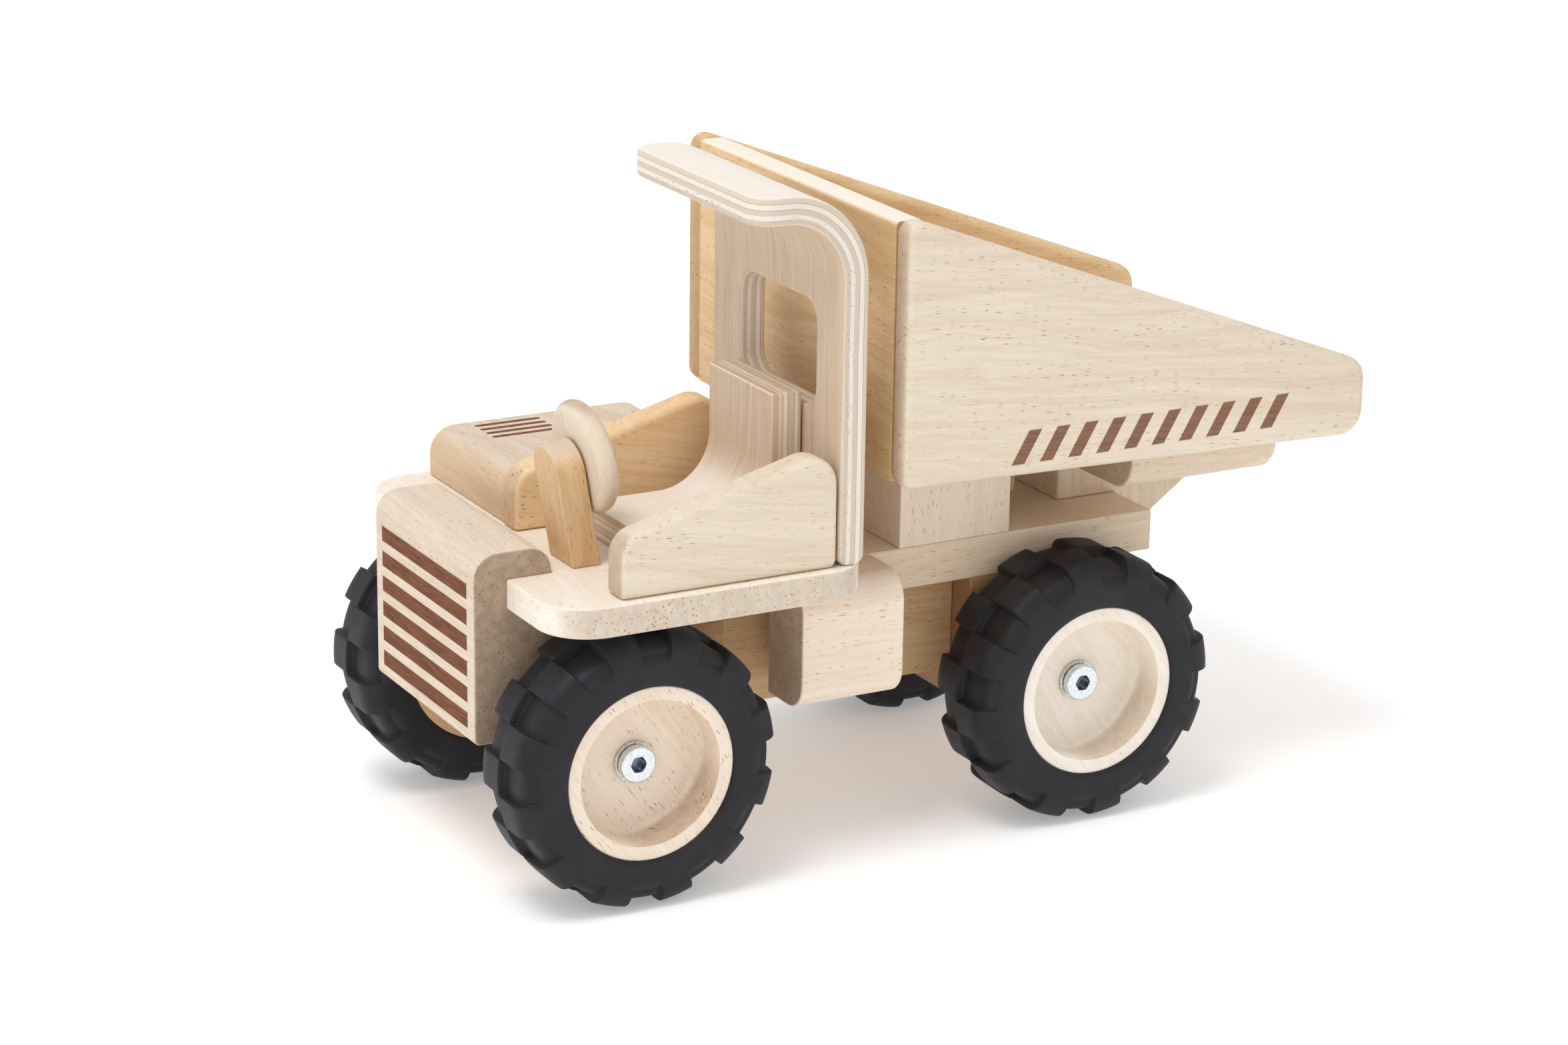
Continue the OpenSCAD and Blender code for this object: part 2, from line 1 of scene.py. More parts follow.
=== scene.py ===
"""Looks for the wooden toy dump truck. Metres; +X is forward, +Y the driver's left, +Z up."""
import math

import bmesh
import bpy
from mathutils import Matrix, Vector


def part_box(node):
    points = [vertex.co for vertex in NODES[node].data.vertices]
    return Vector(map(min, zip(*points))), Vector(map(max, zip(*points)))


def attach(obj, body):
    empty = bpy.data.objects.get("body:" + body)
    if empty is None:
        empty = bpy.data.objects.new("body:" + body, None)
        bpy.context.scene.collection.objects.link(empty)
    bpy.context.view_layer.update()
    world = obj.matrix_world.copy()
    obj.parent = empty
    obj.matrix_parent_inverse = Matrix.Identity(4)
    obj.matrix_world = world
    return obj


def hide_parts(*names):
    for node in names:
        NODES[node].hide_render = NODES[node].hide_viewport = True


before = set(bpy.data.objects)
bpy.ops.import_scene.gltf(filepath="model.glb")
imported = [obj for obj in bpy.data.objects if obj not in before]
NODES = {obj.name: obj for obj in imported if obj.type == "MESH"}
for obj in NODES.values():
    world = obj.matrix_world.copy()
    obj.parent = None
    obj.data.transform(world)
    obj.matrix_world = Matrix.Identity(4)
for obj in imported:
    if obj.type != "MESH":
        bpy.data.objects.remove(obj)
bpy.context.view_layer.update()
MM = 0.001


def corners(node):
    """A node's lowest and highest corners in millimetres."""
    low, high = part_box(node)
    return low / MM, high / MM


# ---------------------------------------------------------------- material nodes

def linear(r, g, b):
    """A screen colour, 0 to 255, as Blender's linear colour."""
    def one(c):
        c /= 255
        return c / 12.92 if c <= 0.04045 else ((c + 0.055) / 1.055) ** 2.4
    return one(r), one(g), one(b), 1.0


class Shader:
    """A material and short calls that add nodes to it."""

    def __init__(self, name):
        self.mat = bpy.data.materials.new(name)
        self.mat.use_nodes = True
        self.tree = self.mat.node_tree
        self.tree.nodes.clear()
        self.surface = self.node("ShaderNodeBsdfPrincipled")
        out = self.node("ShaderNodeOutputMaterial")
        self.tree.links.new(self.surface.outputs[0], out.inputs[0])

    def node(self, kind, **props):
        made = self.tree.nodes.new(kind)
        for key, value in props.items():
            setattr(made, key, value)
        return made

    def put(self, socket, value):
        if isinstance(value, bpy.types.NodeSocket):
            self.tree.links.new(value, socket)
        else:
            socket.default_value = value

    def math(self, op, *values, clamp=False):
        made = self.node("ShaderNodeMath", operation=op, use_clamp=clamp)
        for socket, value in zip(made.inputs, values):
            self.put(socket, value)
        return made.outputs[0]

    def vector(self, op, a, b=None, scale=None):
        made = self.node("ShaderNodeVectorMath", operation=op)
        self.put(made.inputs[0], a)
        if b is not None:
            self.put(made.inputs[1], b)
        if scale is not None:
            self.put(made.inputs["Scale"], scale)
        return made.outputs[0]

    def split(self, vector):
        made = self.node("ShaderNodeSeparateXYZ")
        self.put(made.inputs[0], vector)
        return made.outputs[0], made.outputs[1], made.outputs[2]

    def join(self, x, y, z):
        made = self.node("ShaderNodeCombineXYZ")
        for socket, value in zip(made.inputs, (x, y, z)):
            self.put(socket, value)
        return made.outputs[0]

    def stretched(self, parts, *factors):
        """A point from its three parts, each multiplied by its own factor."""
        return self.join(*[self.math("MULTIPLY", part, factor) for part, factor in zip(parts, factors)])

    def turned(self, vector, turn):
        """A vector turned by three angles in degrees."""
        made = self.node("ShaderNodeVectorRotate", rotation_type="EULER_XYZ")
        self.put(made.inputs["Vector"], vector)
        made.inputs["Rotation"].default_value = [math.radians(a) for a in turn]
        return made.outputs[0]

    def step(self, value, low, high, start=0.0, end=1.0):
        """Goes smoothly from start to end while value goes from low to high."""
        made = self.node("ShaderNodeMapRange", interpolation_type="SMOOTHSTEP")
        for name, v in zip(("Value", "From Min", "From Max", "To Min", "To Max"),
                           (value, low, high, start, end)):
            self.put(made.inputs[name], v)
        return made.outputs[0]

    def noise(self, vector, scale=1.0, detail=2.0, rough=0.5):
        made = self.node("ShaderNodeTexNoise")
        self.put(made.inputs["Vector"], vector)
        made.inputs["Scale"].default_value = scale
        made.inputs["Detail"].default_value = detail
        made.inputs["Roughness"].default_value = rough
        return made.outputs["Fac"]

    def cells(self, vector):
        """Distance to the nearest scattered point, and a number of its own for each point."""
        made = self.node("ShaderNodeTexVoronoi")
        self.put(made.inputs["Vector"], vector)
        made.inputs["Scale"].default_value = 1.0
        return made.outputs["Distance"], self.split(made.outputs["Color"])[0]

    def mix(self, share, a, b):
        made = self.node("ShaderNodeMix", data_type="RGBA")
        self.put(made.inputs[0], share)
        self.put(made.inputs[6], a)
        self.put(made.inputs[7], b)
        return made.outputs[2]

    def mix_number(self, share, a, b):
        return self.math("ADD", a, self.math("MULTIPLY", share, self.math("SUBTRACT", b, a)))

    def bump(self, height, depth_mm, strength=1.0):
        made = self.node("ShaderNodeBump")
        made.inputs["Strength"].default_value = strength
        made.inputs["Distance"].default_value = depth_mm * MM
        self.put(made.inputs["Height"], height)
        self.put(self.surface.inputs["Normal"], made.outputs[0])


# ---------------------------------------------------------------- wood

# screen colours of the light wood, its darker growth bands, its end grain and its pores
TONES = {
    "white": ((251, 244, 234), (239, 225, 206), (198, 178, 158), (158, 116, 78)),
    "ivory": ((247, 233, 217), (235, 213, 188), (186, 160, 136), (158, 116, 78)),
    "pale": ((235, 222, 204), (217, 197, 170), (184, 160, 134), (148, 104, 64)),
    # straw's end grain is the wood's own darker end grain, made darker still as painted shade on the
    # grille's sides
    "straw": ((230, 215, 197), (209, 187, 161), (146, 118, 94), (144, 100, 60)),
    "cream": ((234, 218, 197), (214, 190, 158), (186, 161, 132), (146, 99, 57)),
    "amber": ((246, 219, 178), (228, 189, 142), (196, 168, 142), (142, 92, 50)),
    "shell": ((245, 227, 204), (228, 202, 170), (190, 166, 140), (146, 99, 57)),
    "honey": ((236, 208, 164), (214, 175, 124), (186, 152, 112), (136, 88, 46)),
    "warm": ((226, 194, 152), (202, 160, 111), (176, 139, 99), (120, 76, 38)),
    "brown": ((203, 166, 122), (172, 130, 86), (150, 112, 76), (102, 64, 32)),
    "grey": ((222, 203, 181), (200, 175, 148), (180, 156, 132), (146, 110, 78)),
}
# node: the axis that its tinted face looks along, 0 for X or 2 for Z, how much of the tint it
# takes, and the tint's screen colour; the tint is painted light on tops and painted shade on the hood's
# front
PAINTED_FACE_LIGHT = {
    "tipper_headboard": (2, 0.8, (253, 246, 233)),
    "steering_column": (2, 0.4, (253, 245, 230)),
    "chassis_board": (2, 0.3, (253, 245, 230)),
    "hood_block": (0, 0.5, (208, 166, 112)),
}
# screen colours of burnt wood: its light and dark fibres and its pores
BURNT = ((124, 66, 16), (96, 46, 8), (50, 24, 8))


# from a board's middle line to the heart of its tree, in mm, across the grain and down
HEART_ACROSS = 70.0
HEART_DOWN = 55.0
# the pores seen along the grain: cells per mm along and across, reach in cells, share left out
PORES = ((0.24, 1.7, 0.30, 0.35), (0.07, 1.1, 0.16, 0.5))


def growth(s, parts):
    """How dark growth rings, fibres and slow changes make the wood, and the fibres on their own."""
    along, across, deep = parts
    slow = s.noise(s.stretched(parts, 0.008, 0.03, 0.03), detail=3.0)
    side = s.math("ADD", across, HEART_ACROSS)
    down = s.math("ADD", deep, HEART_DOWN)
    radius = s.math("SQRT", s.math("ADD", s.math("MULTIPLY", side, side), s.math("MULTIPLY", down, down)))
    radius = s.math("ADD", radius, s.math("MULTIPLY", slow, 34.0))
    rings = s.noise(s.stretched((radius, 0.0, along), 0.30, 0.0, 0.004), detail=2.0, rough=0.6)
    fibre = s.noise(s.stretched(parts, 0.04, 1.3, 1.3), detail=4.0, rough=0.65)
    shade = s.math("ADD", s.math("MULTIPLY", s.step(rings, 0.36, 0.68), 0.42),
                   s.math("MULTIPLY", s.step(fibre, 0.35, 0.7), 0.36))
    shade = s.math("ADD", shade, s.math("MULTIPLY", s.step(slow, 0.35, 0.7), 0.22), clamp=True)
    return shade, fibre


def open_pores(s, parts, grain_end, strength):
    """Short dashes along the grain and round holes on the end grain, in drifts."""
    crowd = s.step(s.noise(s.stretched(parts, 0.02, 0.12, 0.12)), 0.35, 0.65, 0.3, 1.0)
    dash = 0.0
    for lengthwise, crosswise, reach, left_out in PORES:
        near, own = s.cells(s.stretched(parts, lengthwise, crosswise, crosswise))
        spot = s.math("MULTIPLY", s.step(near, reach * 0.4, reach, 1.0, 0.0), s.step(own, left_out, 0.95))
        dash = s.math("MAXIMUM", dash, spot)
    near, own = s.cells(s.stretched(parts, 0.3, 0.75, 0.75))
    hole = s.math("MULTIPLY", s.step(near, 0.12, 0.3, 1.0, 0.0), s.step(own, 0.1, 0.5))
    return s.math("MULTIPLY", s.mix_number(grain_end, dash, hole),
                  s.math("MULTIPLY", crowd, strength), clamp=True)


def wood_pattern(s, point, facing, tone, pores=1.0):
    """Colour, height, pores and fibres of wood whose grain runs along X of point, in millimetres."""
    light, dark, end, pore = [linear(*c) for c in TONES[tone]]
    parts = s.split(point)
    shade, fibre = growth(s, parts)
    colour = s.mix(shade, light, dark)

    grain_end = s.step(s.math("ABSOLUTE", s.split(facing)[0]), 0.5, 0.9)
    mottle = s.noise(s.stretched(parts, 0.3, 0.3, 0.3), detail=3.0, rough=0.6)
    end = s.mix(s.step(mottle, 0.3, 0.7, 0.05, 0.4), end, dark)
    colour = s.mix(s.math("MULTIPLY", grain_end, 0.8), colour, end)

    dash = open_pores(s, parts, grain_end, pores)
    colour = s.mix(s.math("MULTIPLY", dash, 0.85), colour, pore)
    height = s.math("SUBTRACT", s.math("MULTIPLY", fibre, 0.5), dash)
    return colour, height, dash, fibre


def object_space(s, centre, turn, seed):
    """The piece's own point in millimetres and its facing, turned so that the grain runs along X."""
    place = s.node("ShaderNodeTexCoord")
    point = s.vector("SCALE", place.outputs["Object"], scale=1 / MM)
    point = s.vector("SUBTRACT", point, centre)
    away = (seed * 173.0, seed * 37.0, seed * 91.0)
    point = s.vector("ADD", s.turned(point, turn), away)
    return point, s.turned(place.outputs["Normal"], turn)


def finish_wood(s, colour, height, fibre, mask=None):
    """Puts the wood's colour, sheen and relief on its surface; mask is where it is burnt."""
    s.put(s.surface.inputs["Base Color"], colour)
    rough = s.step(fibre, 0.3, 0.75, 0.46, 0.62)
    if mask is not None:
        rough = s.math("ADD", rough, s.math("MULTIPLY", mask, 0.12))
    s.put(s.surface.inputs["Roughness"], rough)
    s.surface.inputs["Specular IOR Level"].default_value = 0.35
    s.bump(height, 0.12, 0.55)
    return s.mat


def wood(name, centre, turn, tone, seed, pores=1.0, marks=None, tint=None):
    """Solid wood. marks(s, x, y, z) says where it is burnt, from the point in the truck's frame in mm."""
    s = Shader(name)
    point, facing = object_space(s, centre, turn, seed)
    colour, height, dash, fibre = wood_pattern(s, point, facing, tone, pores)
    # the tint paints light on the faces that look up and shade on those that look forward
    if tint:
        axis, most, painted_face_colour = tint
        toward = s.split(s.node("ShaderNodeTexCoord").outputs["Normal"])[axis]
        colour = s.mix(s.step(toward, 0.3, 0.9, 0.0, most), colour, linear(*painted_face_colour))
    mask = None
    if marks:
        place = s.node("ShaderNodeTexCoord").outputs["Object"]
        mask = marks(s, *s.split(s.vector("SCALE", place, scale=1 / MM)))
        light, dark, pore = [linear(*c) for c in BURNT]
        burnt = s.mix(s.step(fibre, 0.35, 0.7), light, dark)
        burnt = s.mix(s.math("MULTIPLY", dash, 0.9), burnt, pore)
        colour = s.mix(mask, colour, burnt)
        height = s.math("SUBTRACT", height, s.math("MULTIPLY", mask, 1.2))
    return finish_wood(s, colour, height, fibre, mask)


def between(s, value, low, high, soft=0.22):
    """1 between low and high, with a soft edge."""
    return s.math("MULTIPLY", s.step(value, low - soft, low + soft),
                  s.step(value, high - soft, high + soft, 1.0, 0.0))


def repeated(s, value, start, pitch, count, width):
    """1 on each of count bars of that width, a pitch apart from start upwards."""
    local = s.math("SUBTRACT", value, start)
    inside = between(s, local, -0.5 * (pitch - width), pitch * count - 0.5 * (pitch - width))
    return s.math("MULTIPLY", inside, between(s, s.math("FLOORED_MODULO", local, pitch), 0.0, width))


def layer_colours(s, layers, thickness, depth):
    """The colours of a plywood's layers, from its outer face inwards."""
    seam = 0.06
    ramp = s.node("ShaderNodeValToRGB")
    stops = ramp.color_ramp.elements
    for _ in range(len(layers) * 2 - len(stops)):
        stops.new(0.5)
    start = 0.0
    for i, (width, colour) in enumerate(layers):
        for stop, at in ((stops[2 * i], start + seam), (stops[2 * i + 1], start + width - seam)):
            stop.position = min(max(at / thickness, 0.0), 1.0)
            stop.color = linear(*colour)
        start += width
    s.put(ramp.inputs[0], s.math("DIVIDE", depth, thickness))
    return ramp.outputs[0]


def bent_ply(name, edge_layers, speckled, thickness, bend, seed):
    """Bent plywood. bend gives, in mm, the depth from the outer face and the way along the sheet."""
    s = Shader(name)
    place = s.node("ShaderNodeTexCoord")
    x, y, z = s.split(s.vector("SCALE", place.outputs["Object"], scale=1 / MM))
    depth, along = bend(s, x, z)
    _, facing_y, facing_up = s.split(place.outputs["Normal"])
    point = s.join(s.math("ADD", along, seed * 31.0), s.math("ADD", y, seed * 57.0), depth)
    flat = s.join(0.0, s.math("ABSOLUTE", facing_y), 0.0)
    face, height, _, fibre = wood_pattern(s, point, flat, "grey", 0.35)

    # the face veneer is streaked, and painted light makes it paler where it faces up
    streak = s.noise(s.stretched((along, y, seed * 9.0), 0.012, 1.1, 1.0), detail=4.0, rough=0.7)
    face = s.mix(s.step(streak, 0.42, 0.72, 0.0, 0.6), face, linear(186, 155, 124))
    face = s.mix(s.step(facing_up, 0.2, 0.9, 0.0, 0.75), face, linear(250, 244, 236))

    # the edge shows wandering layers, flecks in the speckled ones, and fine lines
    wander = s.noise(s.stretched((along, y, 0.0), 0.05, 1.0, 1.0))
    wander = s.math("MULTIPLY", s.math("SUBTRACT", wander, 0.5), 0.5)
    edge = layer_colours(s, edge_layers, thickness, s.math("ADD", depth, wander))
    near, own = s.cells(s.stretched((along, depth, y), 1.0, 1.5, 0.3))
    fleck = s.math("MULTIPLY", s.step(near, 0.14, 0.34, 1.0, 0.0), s.step(own, 0.3, 0.8))
    fleck = s.math("MULTIPLY", fleck, between(s, depth, *speckled))
    edge = s.mix(s.math("MULTIPLY", fleck, 0.7), edge, linear(142, 122, 104))
    line = s.noise(s.stretched((along, depth, 3.0), 0.05, 4.0, 1.0), detail=3.0)
    edge = s.mix(s.step(line, 0.45, 0.75, 0.0, 0.4), edge, linear(200, 180, 156))

    # an edge is wherever the surface lies between the two faces of the sheet
    share = s.math("MULTIPLY", s.step(depth, 0.25, 0.6),
                   s.step(depth, thickness - 0.6, thickness - 0.25, 1.0, 0.0))
    colour = s.mix(share, face, edge)
    return finish_wood(s, colour, s.math("SUBTRACT", height, s.math("MULTIPLY", fleck, share)), fibre)


# ---------------------------------------------------------------- meshes

def rounded(points, radii, turn=math.radians(4)):
    """A counter-clockwise outline, in mm, with an arc at each corner that has a radius."""
    out = []
    count = len(points)
    for i, (point, radius) in enumerate(zip(points, radii)):
        p = Vector(point)
        if radius <= 0:
            out.append(p)
            continue
        a = (Vector(points[i - 1]) - p).normalized()
        b = (Vector(points[(i + 1) % count]) - p).normalized()
        half = a.angle(b) / 2
        centre = p + (a + b).normalized() * radius / math.sin(half)
        start = p + a * radius / math.tan(half) - centre
        end = p + b * radius / math.tan(half) - centre
        sweep = start.angle_signed(end) * -1
        steps = max(2, math.ceil(abs(sweep) / turn))
        for k in range(steps + 1):
            angle = sweep * k / steps
            out.append(centre + Matrix.Rotation(angle, 2) @ start)
    return out


def new_object(name, mesh_data, material, body, nodes):
    """A piece that rides on a body and takes the place of the CAD's nodes."""
    piece = bpy.data.objects.new(name, mesh_data)
    bpy.context.scene.collection.objects.link(piece)
    piece.data.materials.append(material)
    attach(piece, body)
    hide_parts(*nodes)
    return piece


def soften(piece, width_mm, segments=4, angle=30, clean=True):
    """Rounds a piece's edges with modifiers and shades it smoothly."""
    if clean:
        weld = piece.modifiers.new("weld", "WELD")
        weld.merge_threshold = 1e-6
        flat = piece.modifiers.new("flat", "DECIMATE")
        flat.decimate_type = "DISSOLVE"
        flat.angle_limit = math.radians(0.8)
    if width_mm > 0:
        bevel = piece.modifiers.new("round", "BEVEL")
        bevel.width = width_mm * MM
        bevel.segments = segments
        bevel.limit_method = "ANGLE"
        bevel.angle_limit = math.radians(angle)
        bevel.use_clamp_overlap = False
        bevel.miter_outer = "MITER_ARC"
        bevel.harden_normals = False
    shade = piece.modifiers.new("shade", "WEIGHTED_NORMAL")
    shade.keep_sharp = False
    shade.weight = 80


def prism(name, outline, y0, y1):
    """A mesh with that X-Z outline, in mm, from y0 to y1."""
    mesh = bpy.data.meshes.new(name)
    bm = bmesh.new()
    near = [bm.verts.new((p.x * MM, y0 * MM, p.y * MM)) for p in outline]
    far = [bm.verts.new((p.x * MM, y1 * MM, p.y * MM)) for p in outline]
    count = len(outline)
    bm.faces.new(near)
    bm.faces.new(far[::-1])
    for i in range(count):
        j = (i + 1) % count
        bm.faces.new((near[j], near[i], far[i], far[j]))
    bmesh.ops.recalc_face_normals(bm, faces=bm.faces)
    for face in bm.faces:
        face.smooth = True
    bm.to_mesh(mesh)
    bm.free()
    return mesh


# ---------------------------------------------------------------- solid wood pieces

# node: tone, turn of the grain in degrees, seed, strength of the pores, edge radius in mm
BOARDS = {
    "deck_board": ("white", (0, 0, -88), 1, 1.2, 0.8),
    "chassis_board": ("shell", (0, 3, 2), 2, 1.0, 0.6),
    # painted light and shade under the deck: the spine beam takes the lighter warm tone where light
    # reaches its front, and the axle blocks take the darker brown tone for the shade under the deck
    "spine_beam": ("warm", (0, 2, 1), 3, 1.0, 0.6),
    "front_axle_block": ("brown", (0, 1, 2), 4, 1.0, 0.6),
    "rear_axle_block": ("brown", (0, 3, -2), 5, 1.0, 0.6),
    "left_fuel_tank": ("ivory", (0, 4, 1), 6, 1.0, 0.8),
    "right_fuel_tank": ("ivory", (0, 2, 3), 7, 1.0, 0.8),
    "left_armrest": ("pale", (0, 9, 2), 8, 1.1, 2.0),
    # painted light: the right armrest takes the lighter amber tone to brighten its inner face
    "right_armrest": ("amber", (0, 12, 3), 9, 1.3, 2.0),
    "steering_column": ("warm", (2, 78, 3), 10, 1.2, 0.6),
    "front_support_block": ("ivory", (0, 88, 2), 11, 1.0, 0.5),
    "hinge_block": ("cream", (0, 87, 3), 12, 1.0, 0.8),
    "tipper_floor": ("warm", (0, 1, 2), 13, 1.0, 0.6),
    # painted shade: the honey tone is deepened for the shade on the headboard's front, and its tint
    # paints light on its top
    "tipper_headboard": ("honey", (0, 2, -88), 14, 1.2, 0.5),
    "tipper_left_rail": ("cream", (0, 2, 1), 15, 1.0, 1.0),
    "tipper_right_rail": ("cream", (0, 1, 2), 16, 1.0, 1.0),
    "tipper_locating_block": ("cream", (0, 2, -88), 17, 1.0, 0.5),
    "steering_wheel": ("pale", (0, 80, 20), 18, 0.5, 0.0),
    "steering_peg": ("cream", (0, -10, 0), 19, 0.3, 0.0),
    "hinge_pin": ("cream", (0, 0, -90), 20, 0.5, 0.0),
    "front_left_hub": ("ivory", (0, 55, 0), 21, 1.3, 0.5),
    "rear_left_hub": ("white", (0, 50, 0), 22, 0.4, 0.5),
    # painted shade: this hub takes the darker warm tone for the shade on its inner face
    "front_right_hub": ("warm", (0, 20, 0), 23, 0.8, 0.5),
    "rear_right_hub": ("honey", (0, 110, 0), 24, 0.6, 0.5),
}


def dress(piece, material):
    """Gives a CAD piece its one material."""
    piece.data.materials.clear()
    piece.data.materials.append(material)


for node, (tone, turn, seed, pores, edge) in BOARDS.items():
    low, high = corners(node)
    dress(NODES[node], wood(node + "_wood", (low + high) / 2, turn, tone, seed, pores,
                            tint=PAINTED_FACE_LIGHT.get(node)))
    soften(NODES[node], edge)


# ---------------------------------------------------------------- burnt pieces

def skin(s, value, face, most=1.0):
    """most on a face at that value, and 0 from a millimetre under it."""
    return s.step(value, face - 1.0, face - 0.6, 0.0, most)


def grille_marks(s, x, y, z):
    """Level bars on the front face."""
    count, pitch, bar_h, half_l, first_drop = 6, 7.96, 4.9, 31.0, 9.7
    high = corners("grille_block")[1]
    lowest = high.z - first_drop - bar_h - (count - 1) * pitch
    bars = repeated(s, z, lowest, pitch, count, bar_h)
    wide = between(s, y, -half_l, half_l)
    return s.math("MULTIPLY", s.math("MULTIPLY", bars, wide), skin(s, x, high.x))


def hood_marks(s, x, y, z):
    """Short lines with round ends on the top face."""
    count, pitch, half_w, length = 4, 4.4, 1.05, 20.5
    low, high = corners("hood_block")
    start = low.y + 5.65
    front = high.x - 14.2
    line = s.math("ROUND", s.math("DIVIDE", s.math("SUBTRACT", y, start), pitch))
    middle = s.math("ADD", s.math("MULTIPLY", line, pitch), start)
    middle = s.math("MINIMUM", s.math("MAXIMUM", middle, start), start + (count - 1) * pitch)
    past = s.math("MAXIMUM", s.math("SUBTRACT", x, front), s.math("SUBTRACT", front - length, x))
    past = s.math("MAXIMUM", past, 0.0)
    side = s.math("SUBTRACT", y, middle)
    away = s.math("SQRT", s.math("ADD", s.math("MULTIPLY", past, past), s.math("MULTIPLY", side, side)))
    return s.math("MULTIPLY", s.step(away, half_w - 0.2, half_w + 0.2, 1.0, 0.0), skin(s, z, high.z))


def side_marks(sign):
    def marks(s, x, y, z):
        """Slanted bars in a row along the lower edge of the outer face."""
        count, pitch, bar_w, bar_h, slant, front_gap = 10, 9.97, 4.6, 10.3, 6.0, 37.6
        low, high = corners("tipper_left_side")
        bottom = low.z + 6.73
        lean = s.math("MULTIPLY", s.math("SUBTRACT", z, bottom), slant / bar_h)
        last = high.x - front_gap - (count - 1) * pitch - bar_w
        bars = repeated(s, s.math("ADD", x, lean), last, pitch, count, bar_w)
        tall = between(s, z, bottom, bottom + bar_h)
        outside = skin(s, s.math("MULTIPLY", y, sign), high.y, 0.88)
        return s.math("MULTIPLY", s.math("MULTIPLY", bars, tall), outside)
    return marks


def marked_block(node, outline, turn, tone, seed, marks, edge):
    """A burnt piece, with that X-Z outline in place of the CAD's grooved one."""
    low, high = corners(node)
    material = wood(node + "_wood", (low + high) / 2, turn, tone, seed, 1.0, marks, PAINTED_FACE_LIGHT.get(node))
    body = "tipper" if node.startswith("tipper") else "chassis"
    piece = new_object(node + "_shape", prism(node, outline, low.y, high.y), material, body,
                       [node])
    soften(piece, edge, clean=False)


low, high = corners("grille_block")
grille_outline = rounded([(low.x, low.z), (high.x, low.z), (high.x, high.z), (low.x, high.z)],
                         [2, 2, 7.6, 7.6])
marked_block("grille_block", grille_outline, (0, 4, -86), "straw", 31, grille_marks, 0.8)

# the hood's outline starts below its own base, because its roundings nearly reach the deck
low, high = corners("hood_block")
hood_base = low.z - 10
hood_arch = rounded([(low.x, hood_base), (high.x, hood_base), (high.x, high.z), (low.x, high.z)],
                    [0, 0, 8.5, 8.5])
hood_outline = [Vector((low.x + 0.06, low.z)), Vector((high.x - 0.06, low.z))]
hood_outline += [p for p in hood_arch if p.y > low.z]
marked_block("hood_block", hood_outline, (0, 3, 86), "straw", 32, hood_marks, 0.9)

# a panel's box stops at its rounded corners, short of the sharp ones that its outline starts from
low, high = corners("tipper_left_side")
panel_low, panel_high = low.z - 0.17, high.z + 2.03
rear_drop, rear_slope = 3.6, 63.3
panel_outline = rounded([(low.x, panel_low), (high.x, panel_low + rear_drop), (high.x, panel_high),
                         (low.x, panel_high - rear_slope)], [8, 5, 4.5, 8])
for side, sign, tone, seed in (("left", 1, "pale", 33), ("right", -1, "honey", 34)):
    marked_block(f"tipper_{side}_side", panel_outline, (0, 6, 1), tone, seed, side_marks(sign), 3.2)


# ---------------------------------------------------------------- bent plywood

# from a sheet's outer face to the line whose length the bend keeps, in mm
MID_SHEET = 4.0


def sheet_way(s, x, z, bend_x, bend_z, radius, up):
    """Depth under the outer face and the way along a sheet bent from upright to forward."""
    back = s.math("MINIMUM", s.math("SUBTRACT", x, bend_x), 0.0)
    rise = s.math("MULTIPLY", s.math("SUBTRACT", z, bend_z), float(up))
    over = s.math("MAXIMUM", rise, 0.0)
    out = s.math("SQRT", s.math("ADD", s.math("MULTIPLY", back, back), s.math("MULTIPLY", over, over)))
    depth = s.math("SUBTRACT", radius, out)
    angle = s.math("ARCTAN2", over, s.math("MULTIPLY", back, -1.0))
    straight = s.math("ADD", s.math("MINIMUM", rise, 0.0),
                      s.math("MAXIMUM", s.math("SUBTRACT", x, bend_x), 0.0))
    return depth, s.math("ADD", s.math("MULTIPLY", angle, radius - MID_SHEET), straight)


def cab_bend(s, x, z):
    """The cab's sheet goes up and then bends forward into the roof."""
    low, high = corners("cab_shell")
    radius = 27.0
    return sheet_way(s, x, z, low.x + radius, high.z - radius, radius, 1)


def seat_bend(s, x, z):
    """The seat's sheet comes down and then bends forward."""
    low = corners("bench_seat")[0]
    radius = 27.1
    return sheet_way(s, x, z, low.x + radius, low.z + radius, radius, -1)


# thickness in mm and screen colour of each layer, from the outer face inwards
CAB_LAYERS = [(0.3, (214, 184, 142)), (1.5, (220, 204, 186)), (0.2, (190, 164, 134)),
              (1.5, (238, 230, 219)), (0.2, (192, 168, 140)), (1.5, (214, 200, 184)),
              (1.3, (238, 230, 219)), (1.5, (210, 195, 179)), (0.6, (232, 219, 202))]
SEAT_LAYERS = [(1.4, (214, 188, 158)), (1.1, (238, 226, 208)), (0.25, (200, 166, 128)),
               (1.8, (214, 203, 190)), (0.3, (200, 168, 132)), (1.5, (240, 229, 211)),
               (0.3, (202, 170, 136)), (1.2, (232, 216, 192)), (2.25, (216, 188, 158))]
CAB_SPECKLED = (5.3, 7.6)
SEAT_SPECKLED = (2.8, 4.5)
dress(NODES["cab_shell"], bent_ply("cab_shell_ply", CAB_LAYERS, CAB_SPECKLED, 8.6, cab_bend, 1))
dress(NODES["bench_seat"], bent_ply("bench_seat_ply", SEAT_LAYERS, SEAT_SPECKLED, 10.1, seat_bend, 2))
soften(NODES["cab_shell"], 1.5)
soften(NODES["bench_seat"], 0.7)


# ---------------------------------------------------------------- tyres

